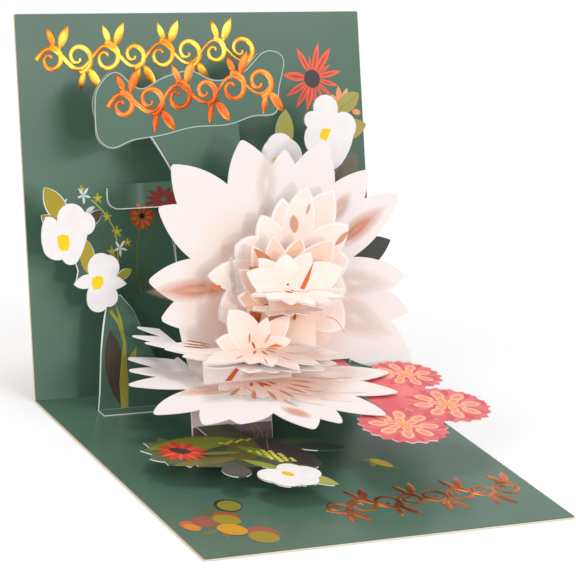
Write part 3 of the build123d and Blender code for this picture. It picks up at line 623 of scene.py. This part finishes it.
inner_up += [(6, [(-7.6, 65.7), (-3.5, 65.6), (-3.8, 64.0), (-7.2, 64.3)], "DE7A2E"),
             (6, blade((-4.8, 72.6), (5.0, 62.6), 0.14), "CF8560"),
             (6, [(-8.2, 49.0), (-3.1, 47.9), (-4.6, 43.8), (-7.6, 44.8)], "BC5C2E"),
             (6, [(10.7, 47.5), (12.1, 47.4), (11.4, 44.3), (10.4, 44.6)], "BC5C2E"),
             (6, [(-1.8, 51.3), (2.3, 50.6), (1.7, 49.1), (-1.3, 49.3)], "C26A42"),
             (6, stroke([(25.1, 44.9), (29.4, 42.9), (32.6, 38.0)], 0.5, 0.3), "E09A72")]
print_on("inner_petal_print", upright(INNER_REACH), inner_up, matt_ink)
inner_low = petal_prints((INNER_X, INNER_REACH), 55.4, INNER_FLAT, BELLY_SHARE, RIM,
                         [("EDB192", "F3DED2"), ("F0C4AA", "F4E6DD")])
print_on("inner_petal_low_print", flat(INNER_RISE), inner_low, matt_ink)
front_up = petal_prints((FRONT_X, FRONT_RISE), 35.9, FRONT_UP, BELLY_SHARE, RIM,
                        [("F1CBB4", "F5E4DA"), ("F3D6C6", "F7ECE5")])
front_up += [(6, blade((-11.0, 38.0), (-10.6, 42.2), 0.08), "C96A3A"),
             (6, [(-3.4, 36.2), (0.2, 37.4), (3.0, 36.4), (1.0, 35.95)], "D9783E"),
             (6, blade((-8.6, 36.0), (-9.9, 39.0), 0.14), "B9562C"),
             (6, blade((-4.6, 37.6), (-1.6, 41.6), 0.10), "E2A888")]
print_on("front_petal_print", upright(FRONT_REACH), front_up, matt_ink)
FRONT_HEART = (FRONT_X, FRONT_REACH)
front_low = petal_prints(FRONT_HEART, 59.4, FRONT_FLAT, BELLY_SHARE, RIM,
                         [("EDB598", "F4DFD3"), ("F2CFBC", "F6E8E0")])
front_low += slits(FRONT_HEART, 3, 8, 0.10, (22, 52, 88, 128), "C9693A")
front_low += slits(FRONT_HEART, 11, 17, 0.07, (36, 66, 104, 146), "DFA080")
print_on("front_petal_low_print", flat(FRONT_RISE), front_low, matt_ink)
top_up = petal_prints((TOP_X, TOP_RISE), 58.1, TOP_UP, BELLY_SHARE, TOP_RIM,
                      [("F4DACB", "F7E8DF"), ("F5E0D4", "F8EEE8")])
top_up += [(6, [(17.0, 68.6), (13.4, 63.4), (10.4, 58.8), (12.3, 58.3), (14.6, 62.0)], "D96A2A"),
           (6, oval(5.3, 60.6, 0.5, 0.4), "B0502C")]
print_on("top_petal_print", upright(TOP_REACH), top_up, matt_ink)
top_low = petal_prints((TOP_X, TOP_REACH), 62.4, TOP_FLAT, BELLY_SHARE, TOP_RIM,
                       [("F3D8C9", "F6E8E0"), ("F5E2D8", "F8F0EB")])
top_low += [(6, stroke([(6.4, 63.4), (10.5, 65.2), (13.2, 65.4)], 0.5, 0.2), "C96C48"),
            (6, stroke([(-6, 62.8), (-1, 63.2), (3, 63)], 0.4, 0.2), "DFA890"),
            (6, stroke([(14, 63.4), (20, 64.4), (25, 66.6)], 0.4, 0.2), "DFA890"),
            (7, blade((3.6, 62.7), (5.8, 65.6), 0.22), "D0572C"),
            (7, oval(6.9, 63.0, 0.5, 0.5), "8A3A2A")]
print_on("top_petal_low_print", flat(TOP_RISE), top_low, matt_ink)

# Risers and spacer: the folded strips of white card, glued by their tabs, that carry the petal sheets.
# The middle riser's front shows peach and a rust line; the base riser's is printed lilac over mauve,
# with two thin stems, as a part of the ground behind the leaf spray.
MIDDLE_RISER_REACH, BASE_RISER_REACH = 54, 57
riser = Finish("riser card")
riser_card = riser.card(clouded(riser, 40.0, "F0E6E4", "F5ECEA", 0.3, 0.7), rough=0.65, gloss=0.25)
for strip in ("middle_riser", "base_riser", "flower_spacer"):
    dress(strip, riser_card)
riser_marks = [(0, [(-14, 22.7), (8.7, 22.7), (8.7, 32.6), (-8, 32.6)], "F2D8CB", 0.4),
               (1, [(-19.8, 22.7), (-17.0, 22.7), (-11.9, 28.4), (-13.4, 28.8)], "D0622C"),
               (2, stroke([(-9.9, 24.0), (-4, 25.4), (2, 24.4), (8, 25.2)], 0.5, 0.3), "DFA486"),
               (2, oval(-9.4, 25.4, 0.5, 0.5), "C2643E")]
print_on("middle_riser_print", upright(MIDDLE_RISER_REACH), riser_marks, matt_ink)
STEM_TONE = "9A8A4A"
low_marks = [(0, [(-35.6, 7.4), (-2.2, 7.4), (-2.2, 13.5), (-35.6, 13.5)], "DCCBD1"),
             (0, [(-35.6, 0.6), (-2.2, 0.6), (-2.2, 7.4), (-35.6, 7.4)], "75606A"),
             (2, stroke([(-11.5, 7.3), (-10.4, 5.2), (-9.8, 3.3), (-10.6, 0.8)], 0.4), STEM_TONE),
             (2, stroke([(-10.2, 7.3), (-7.8, 4.9), (-6.8, 3.3), (-6.2, 0.8)], 0.4), STEM_TONE)]
print_on("base_riser_print", upright(BASE_RISER_REACH), low_marks, matt_ink)

# Screen: the upright sheet behind the flower, of white card printed green, glued to the base by a tab.
# It is cut to a wavy plaque on a pillar, two white blossoms and a few leaves, with pale lines at its
# cut edges. The plaque carries a copper foil flourish.
SCREEN_REACH = 21.2
WHITE, YELLOW = "F0EEEF", "F5D314"
CARD_EDGE = "F4F2EE"


def sized(shares):
    """Points given as shares of the card's width, in millimetres."""
    return [(CARD_WIDTH * x, CARD_WIDTH * y) for x, y in shares]


def lobed(shares):
    """Outline of arcs through corners and the tops of the lobes between them, by turns."""
    points = sized(shares)
    line = []
    for k in range(0, len(points), 2):
        (ax, ay), (bx, by), (cx, cy) = points[k], points[k + 1], points[(k + 2) % len(points)]
        spread = 2 * (ax * (by - cy) + bx * (cy - ay) + cx * (ay - by))
        a2, b2, c2 = ax * ax + ay * ay, bx * bx + by * by, cx * cx + cy * cy
        mid_x = (a2 * (by - cy) + b2 * (cy - ay) + c2 * (ay - by)) / spread
        mid_y = (a2 * (cx - bx) + b2 * (ax - cx) + c2 * (bx - ax)) / spread
        radius = math.hypot(ax - mid_x, ay - mid_y)
        first = math.atan2(ay - mid_y, ax - mid_x)
        sweep = (math.atan2(cy - mid_y, cx - mid_x) - first) % math.tau
        if (math.atan2(by - mid_y, bx - mid_x) - first) % math.tau > sweep:
            sweep -= math.tau
        for angle in [first + sweep * i / 8 for i in range(8)]:
            line.append((mid_x + radius * math.cos(angle), mid_y + radius * math.sin(angle)))
    return line


screen_card = two_sided("screen card", green_print, "FFFFFF", CARD_EDGE, rough=0.3, gloss=0.3)
dress("screen", screen_card)
BIG_BLOSSOM = [(0.254, 0.711), (0.251, 0.745), (0.274, 0.753), (0.313, 0.796), (0.346, 0.746), (0.386, 0.741),
               (0.391, 0.687), (0.379, 0.654), (0.358, 0.622), (0.307, 0.597), (0.261, 0.641), (0.243, 0.675)]
SMALL_BLOSSOM = [(0.133, 0.678), (0.168, 0.699), (0.203, 0.682), (0.233, 0.643), (0.221, 0.603),
                 (0.178, 0.570), (0.134, 0.596), (0.113, 0.638)]
PLAQUE = [(-0.352, 0.762), (-0.342, 0.823), (-0.290, 0.865), (-0.225, 0.822), (-0.155, 0.849),
          (-0.080, 0.865), (-0.010, 0.839), (0.070, 0.857), (0.140, 0.911), (0.192, 0.893),
          (0.175, 0.815), (0.162, 0.753), (0.095, 0.745), (0.020, 0.725), (-0.080, 0.721),
          (-0.170, 0.703), (-0.250, 0.693), (-0.310, 0.675), (-0.347, 0.702)]
PILLAR_SIDE = [(-0.200, 0.700), (-0.172, 0.655), (-0.141, 0.598), (-0.130, 0.541), (-0.148, 0.490),
               (-0.148, 0.394), (-0.138, 0.250), (-0.130, 0.02)]
plaque_rim = along(sized(PLAQUE + PLAQUE[:1]))
rim_lines = [(0, stroke(plaque_rim[k:k + 13], 0.4), "B9C6BE") for k in range(0, len(plaque_rim) - 1, 12)]
rim_lines.append((0, stroke(sized(PILLAR_SIDE), 0.4), "E4E8E6"))
right_leaves = [(0, blade(*sized(ends), bulge), code) for ends, bulge, code in (
    (((0.178, 0.640), (0.192, 0.760)), 0.22, "9A9A4E"), (((0.330, 0.690), (0.431, 0.715)), 0.26, "A79C54"),
    (((0.325, 0.520), (0.398, 0.640)), 0.22, "6F6A5C"), (((0.270, 0.325), (0.488, 0.405)), 0.20, "4A4C4A"))]
right_bloom = [(1, lobed(BIG_BLOSSOM), WHITE), (1, lobed(SMALL_BLOSSOM), WHITE),
               (3, [(45.3, 107.4), (49.2, 107.2), (46.8, 102.3), (43.7, 103.8)], YELLOW),
               (3, oval(23.2, 95.4, 1.3, 1.1), YELLOW)]
on_screen = upright(SCREEN_REACH)
print_on("screen_print", on_screen, rim_lines + right_leaves + right_bloom, matt_ink)
foil("plaque_foil", on_screen, flourish((-48, 118), (24, 127), 25, 3, 2.6), copper_foil)

# Blossom screen: the narrow upright sheet at the left, of white card glued to the base by a tab.
# Two white blossoms with yellow middles stand over leaf blades, and its lower part and its tab are
# printed green like the liner, with dark and yellow-green stems.
BLADE_GREEN = "446454"
BLOSSOM_REACH = 14.9
UPPER_BLOSSOM = [(-0.486, 0.495), (-0.472, 0.495), (-0.455, 0.483), (-0.425, 0.525), (-0.378, 0.503),
                 (-0.351, 0.480), (-0.374, 0.445), (-0.386, 0.412), (-0.404, 0.380), (-0.424, 0.372),
                 (-0.445, 0.387), (-0.471, 0.388), (-0.492, 0.404), (-0.499, 0.451)]
LOWER_BLOSSOM = [(-0.376, 0.346), (-0.366, 0.388), (-0.320, 0.392), (-0.292, 0.372), (-0.300, 0.338),
                 (-0.287, 0.330), (-0.272, 0.316), (-0.288, 0.308), (-0.304, 0.303), (-0.303, 0.272),
                 (-0.330, 0.261), (-0.366, 0.251), (-0.384, 0.276), (-0.383, 0.296), (-0.378, 0.311),
                 (-0.399, 0.311), (-0.418, 0.322), (-0.403, 0.338)]


def white_front(finish):
    return finish.blend(finish.grain(90.0, 2.0), paint("EFEBEC"), paint("F4F1F1"))


dress("blossom_screen", two_sided("blossom card", white_front, "EFEDEA", CARD_EDGE, rough=0.55, gloss=0.3))
left_leaves = [(2, blade(*sized(ends), 0.22), code) for ends, code in (
    (((-0.425, 0.470), (-0.484, 0.570)), "A8952E"), (((-0.430, 0.450), (-0.497, 0.500)), "9C8636"),
    (((-0.376, 0.345), (-0.380, 0.436)), "A89736"), (((-0.380, 0.465), (-0.330, 0.506)), "4C3A30"),
    (((-0.300, 0.330), (-0.256, 0.352)), "8E8C2C"))]
blades = [(0, [(-55.9, 0.3), (-54.9, 6.8), (-53.6, 21.3), (-52.1, 31), (-50.0, 41.5), (-44.5, 43.9),
               (-39.3, 37.9), (-32.7, 22.8), (-26.1, 9.1), (-26.0, 0.3)], BLADE_GREEN),
          (0, [(-62.5, 58.4), (-61.2, 54.1), (-62.4, 50), (-56.6, 50.5), (-55.9, 59.8), (-58.8, 64)],
           BLADE_GREEN),
          (1, blade((-46.2, 0.6), (-49.6, 31.0), 0.14), "453B33"),
          (2, [(-46.6, 0.4), (-46.8, 10), (-45.4, 19.5), (-44.3, 25.2), (-46.2, 32.8), (-49.4, 37.6),
               (-48.4, 38.4), (-45.6, 34.2), (-46.6, 41), (-44.4, 34.8), (-42.9, 25), (-43.2, 19.2),
               (-42.8, 9), (-43.6, 0.4)], "97913A"),
          (2, [(-43.2, 18.6), (-38.6, 23.6), (-39.2, 19.2)], "97913A")]
left_bloom = [(3, lobed(UPPER_BLOSSOM), WHITE), (3, lobed(LOWER_BLOSSOM), WHITE),
              (5, [(-69.4, 67.6), (-67.4, 68.4), (-64.8, 67.8), (-64.4, 64.4), (-65.2, 62.2), (-67.8, 62.0),
                   (-69.2, 63.6)], YELLOW),
              (5, [(-55.8, 51.0), (-53.6, 51.8), (-51.4, 51.2), (-51.2, 48.8), (-52.8, 46.8), (-55.2, 46.6),
                   (-56.2, 48.6)], YELLOW)]
tab = [(-56.1, 15.3), (-26.1, 15.3), (-26.1, 20.7), (-56.1, 20.7)]
print_on("blossom_tab_print", flat(0), [(0, tab, BLADE_GREEN)], matt_ink)
print_on("blossom_screen_print", upright(BLOSSOM_REACH), left_leaves + blades + left_bloom,
         matt_ink)

# Pull strap: a narrow strip of card that pulls the screen upright as the card opens. It is green like
# the liner and white underneath, with the tops of two printed daisies across it. Its left end is glued
# to the back panel, and it bends forward round an arc to the back of the screen.
BEND_START, BEND_RADIUS, BEND_TURN = -34, 10, 55
BEND_RUN = 8.19
STRAP_FOOT = 72.1
dress("pull_strap", two_sided("strap card", green_print, "FFFFFF", CARD_EDGE, rough=0.3, gloss=0.3,
                              turn=0.45))


def on_strap(x, rise, lift=0.0):
    """Place on the strap's front, flat at its left, then bent forward round an arc."""
    run = max(x - BEND_START, 0)
    turn = min(math.asin(min(run / BEND_RADIUS, 1)), math.radians(BEND_TURN))
    out = BEND_RADIUS * (1 - math.cos(turn)) + max(run - BEND_RUN, 0) * math.tan(math.radians(BEND_TURN))
    side = SHEET + lift
    foot = Vector((x - side * math.sin(turn), GUTTER_Y, FLOOR_Z))
    return (foot + PANEL_UP * rise + PANEL_NORMAL * (out + side * math.cos(turn))) * MM


strap_marks = inked(1, [above(p, STRAP_FOOT) for p in daisy(-27.5, 69.2, 1.2, 5.5, 11, 0.16, 8)], "CC6E43")
strap_marks += inked(2, [above(p, STRAP_FOOT) for p in daisy(-21.5, 75.2, 0.6, 5.6, 11, 0.16, 4)], "7E3028")
strap_marks += inked(3, [stroke([(-41.2, 80.6), (-41.2, 76.4), (-40.2, 73.8), (-37.6, 72.3)], 0.4),
                         stroke([(-37.6, 72.3), (-34, 72.25), (-30, 72.25), (-26, 72.25), (-20, 72.25),
                                 (-15, 72.25)], 0.4)], CARD_EDGE)
print_on("strap_print", on_strap, [mark for mark in strap_marks if len(mark[1]) > 2], matt_ink)

# Leaf spray: the low flat sheet in front, of white card printed with dark foliage and held over the base
# by a hinge strip. A red daisy, yellow florets, a white daisy and single leaves are drawn on it.
SPRAY_RISE = 7.5


def foliage_print(finish):
    return clouded(finish, 45.0, "3F4A3B", "56603F")


def round_daisy(share_x, share_y, share_wide, lobes, code, layer):
    """Daisy of round lobes about its hub, each a turn and a size, cut as the sheet below it is cut."""
    half = CARD_WIDTH * share_wide / 2
    x, y = CARD_WIDTH * share_x, CARD_WIDTH * share_y
    lobed_rings = [oval(*around(x, y, half * share, turn), half * share) for turn, share in lobes]
    return inked(layer, [oval(x, y, half)] + lobed_rings, code)


dress("leaf_spray", two_sided("spray card", foliage_print, "F0EEEA", CARD_EDGE, rough=0.5, gloss=0.4))
spray = [(layer, blade(*shape), code) for layer, shape, code in (
    (0, ((-62, 74), (-24, 71.5), 0.16), "7D8B32"), (0, ((-30, 88), (-60, 90), 0.10), "7A6E3E"),
    (1, ((-29, 84), (-46, 82), 0.08), "7F9440"), (0, ((-33, 92), (-19, 71), 0.26), "6B6430"),
    (1, ((-28, 78), (-12, 98), 0.14), "7E9036"), (1, ((-32, 90), (-20, 103), 0.12), "8B9A3C"),
    (2, ((-18, 74), (-4.5, 103), 0.22), "463E3E"), (1, ((-6, 82), (13, 88.6), 0.20), "33443A"))]
spray += [(1, oval(-38.3, 99.6, 5.3), "57504C")]
spray += inked(2, daisy(-50.5, 78.6, 2.0, 10.6, 8, 0.17, 5), "D8432E")
spray += inked(3, daisy(-50.5, 78.6, 2.2, 10.0, 8, 0.13, 28), "E85C42")
spray += [(4, oval(-50.6, 77.8, 4.2, 2.2, 30), "4A3A3A"),
          (2, blade((-18.6, 105.2), (-6.9, 120.2), 0.2), "A3A653")]
spray += round_daisy(-0.135, 0.703, 0.082, [(180, 1), (-235, 0.95), (60, 0.95), (0, 1), (-60, 0.8)], WHITE, 3)
spray += [(4, oval(-21.0, 106.6, 2.6, 1.7, 60), "F0C216")]
for i in range(9):
    rise_and_fall = 1.3 * ((i * 5) % 3 - 1) / 2
    spray.append((3, oval(-32.5 + 1.6 * i, 75.2 - 0.26 * i + rise_and_fall, 1.0, 0.7, 40 * i), "D3CE52"))
for i in range(20):
    sideways = 7.5 * ((i * 0.618) % 1)
    spray.append((3, oval(-25.0 + sideways + 0.35 * i, 84.0 + 0.62 * i, 1.1, 0.8, 50 * i), "DDD65E"))
spray += inked(3, [stroke([(-13.4, 68.2), (-15.8, 72), (-19.5, 74)], 0.4),
                   stroke([(-10.4, 69.5), (-13.4, 75), (-17.4, 84)], 0.4)], STEM_TONE)
print_on("leaf_spray_print", flat(SPRAY_RISE), spray, matt_ink)

# Dahlias: the flat sheet at the right, of white card printed coral and held level by a hinge strip.
# Three frilled flowers are cut in it, each with two rings of pointed petals and peach petals inside.


def coral_print(finish):
    return clouded(finish, 70.0, "D9636C", "E9817F")


dress("dahlias", two_sided("dahlia card", coral_print, "F2EEEA", "F6E9E6", rough=0.55, gloss=0.3))
DAHLIA_RISE = 20.2
PEACH_RINGS = ((8, 0.56, 0.23, 0.145), (6, 0.27, 0.17, 0.115))
dahlia_shapes = []
for x, y, size, turn in ((58.2, 88.8, 17.6, 8), (30.2, 103.6, 17.2, 20), (58.2, 56.4, 14.6, 0)):
    dahlia_shapes += inked(0, daisy(x, y, size * 0.5, size * 0.97, 10, 0.20, turn, 1.0, 0.03), "D4606C")
    dahlia_shapes += inked(1, daisy(x, y, size * 0.45, size * 0.9, 10, 0.17, turn + 18, 1.0, 0.03), "E57F80")
    for ring, (count, out, long, wide) in enumerate(PEACH_RINGS):
        for i in range(count):
            spoke = turn + 22 * ring + 360 * i / count
            middle = around(x, y, size * out, spoke)
            petal = oval(*middle, size * long, size * wide, spoke)
            shade = oval(*middle, size * long * 0.62, size * wide * 0.5, spoke)
            dahlia_shapes += [(2 + 2 * ring, petal, "FBB998"), (3 + 2 * ring, shade, "EE9484")]
    dahlia_shapes.append((6, oval(x, y, size * 0.13), "F6A464"))
print_on("dahlia_print", flat(DAHLIA_RISE), dahlia_shapes, matt_ink)

# Table: a white table that fades into white all round. It takes the card's shadow, and a little light of
# its own keeps it white. The white surroundings are seen by the camera and mirrored by the gloss, and
# light the card less strongly, with a trace of warmth.
FADE_START, FADE_END = 0.12, 0.20
table = Finish("white table")
table_tone = table.blend(table.grain(3.0), paint("EBEEF1"), paint("EFF2F5"))
table.card(table_tone, rough=0.9, gloss=0.0, relief=0.0)
table_out = next(n for n in table.tree.nodes if n.bl_idname == "ShaderNodeOutputMaterial")
surface = table_out.inputs["Surface"].links[0].from_socket
glow = table.node("Emission", 0, None, Color=(1, 1, 1, 1), Strength=0.12)
lit = table.node("AddShader", 0, None, i0=surface, i1=glow)
outwards = table.node("VectorMath", 1, {"operation": "DISTANCE"}, i0=table.place(), i1=(0, 0, 0))
fade = span(table, outwards, FADE_START, FADE_END)
clear = table.node("BsdfTransparent", 0)
table.tree.links.new(table.node("MixShader", 0, None, i0=fade, i1=lit, i2=clear), table_out.inputs["Surface"])
HALF_TABLE, TABLE_TOP = 2, -0.0002
table_corners = [(x * HALF_TABLE, y * HALF_TABLE, TABLE_TOP) for x, y in ((-1, -1), (1, -1), (1, 1), (-1, 1))]
floor_mesh = bpy.data.meshes.new("floor")
floor_mesh.from_pydata(table_corners, [], [[0, 1, 2, 3]])
floor_mesh.materials.append(table.material)
floor = bpy.data.objects.new("floor", floor_mesh)
bpy.context.scene.collection.objects.link(floor)

FILL, SEEN_WHITE = 0.54, 1.0
FILL_TINT = (1.0, 0.92, 0.88, 1)
world = bpy.data.worlds.new("studio")
bpy.context.scene.world = world
world.use_nodes = True
studio = world.node_tree
backdrop = studio.nodes["Background"]
rays = studio.nodes.new("ShaderNodeLightPath")
seen = studio.nodes.new("ShaderNodeMath")
seen.operation = "MAXIMUM"
studio.links.new(rays.outputs["Is Camera Ray"], seen.inputs[0])
studio.links.new(rays.outputs["Is Glossy Ray"], seen.inputs[1])
level = studio.nodes.new("ShaderNodeMapRange")
level.inputs["To Min"].default_value = FILL
level.inputs["To Max"].default_value = SEEN_WHITE
studio.links.new(seen.outputs[0], level.inputs["Value"])
studio.links.new(level.outputs[0], backdrop.inputs["Strength"])
warmth = studio.nodes.new("ShaderNodeMix")
warmth.data_type = "RGBA"
warmth.inputs[6].default_value = FILL_TINT
warmth.inputs[7].default_value = (1, 1, 1, 1)
studio.links.new(seen.outputs[0], warmth.inputs[0])
studio.links.new(warmth.outputs[2], backdrop.inputs["Color"])

# Lamps and camera: a low light from the front, soft light from above and from the left, and a broad
# strip high on the right that the glossy print mirrors. The camera stands where the photograph was
# taken from, fitted to the card's corners.


def lamp(name, place, target, size, power, tall=None):
    light = bpy.data.lights.new(name, "AREA")
    light.shape = "DISK" if tall is None else "RECTANGLE"
    light.size = size
    if tall is not None:
        light.size_y = tall
    light.energy = power
    holder = bpy.data.objects.new(name, light)
    holder.location = place
    holder.rotation_euler = (Vector(target) - Vector(place)).to_track_quat("-Z", "Y").to_euler()
    bpy.context.scene.collection.objects.link(holder)


lamp("front light", (0.24, -1.36, 0.30), (0, 0.03, 0.05), 0.2, 3.6)
lamp("top light", (0.04, 0.30, 0.95), (0, -0.01, 0.02), 0.4, 3.2)
lamp("strip light", (0.50, -0.836, 0.646), (0, 0.12, 0.14), 1.0, 3.6, 0.14)
lamp("left light", (-0.95, -0.55, 0.50), (-0.01, 0.03, 0.04), 0.6, 3.8)

camera_data = bpy.data.cameras.new("camera")
camera_data.lens = 168.41
camera_data.sensor_width = 36
camera_data.clip_start = 0.01
camera = bpy.data.objects.new("camera", camera_data)
right = Vector((0.8801866, -0.46207737, 0.10842537))
down = Vector((-0.05579171, -0.32758776, -0.94317207))
forward = Vector((0.47133729, 0.82411817, -0.31411844))
stand = Vector((-0.47741, -0.81216, 0.37853))
camera.matrix_world = Matrix([(right[i], -down[i], -forward[i], stand[i]) for i in range(3)]).to_4x4()
bpy.context.scene.collection.objects.link(camera)
bpy.context.scene.camera = camera
bpy.context.scene.view_settings.view_transform = "Standard"
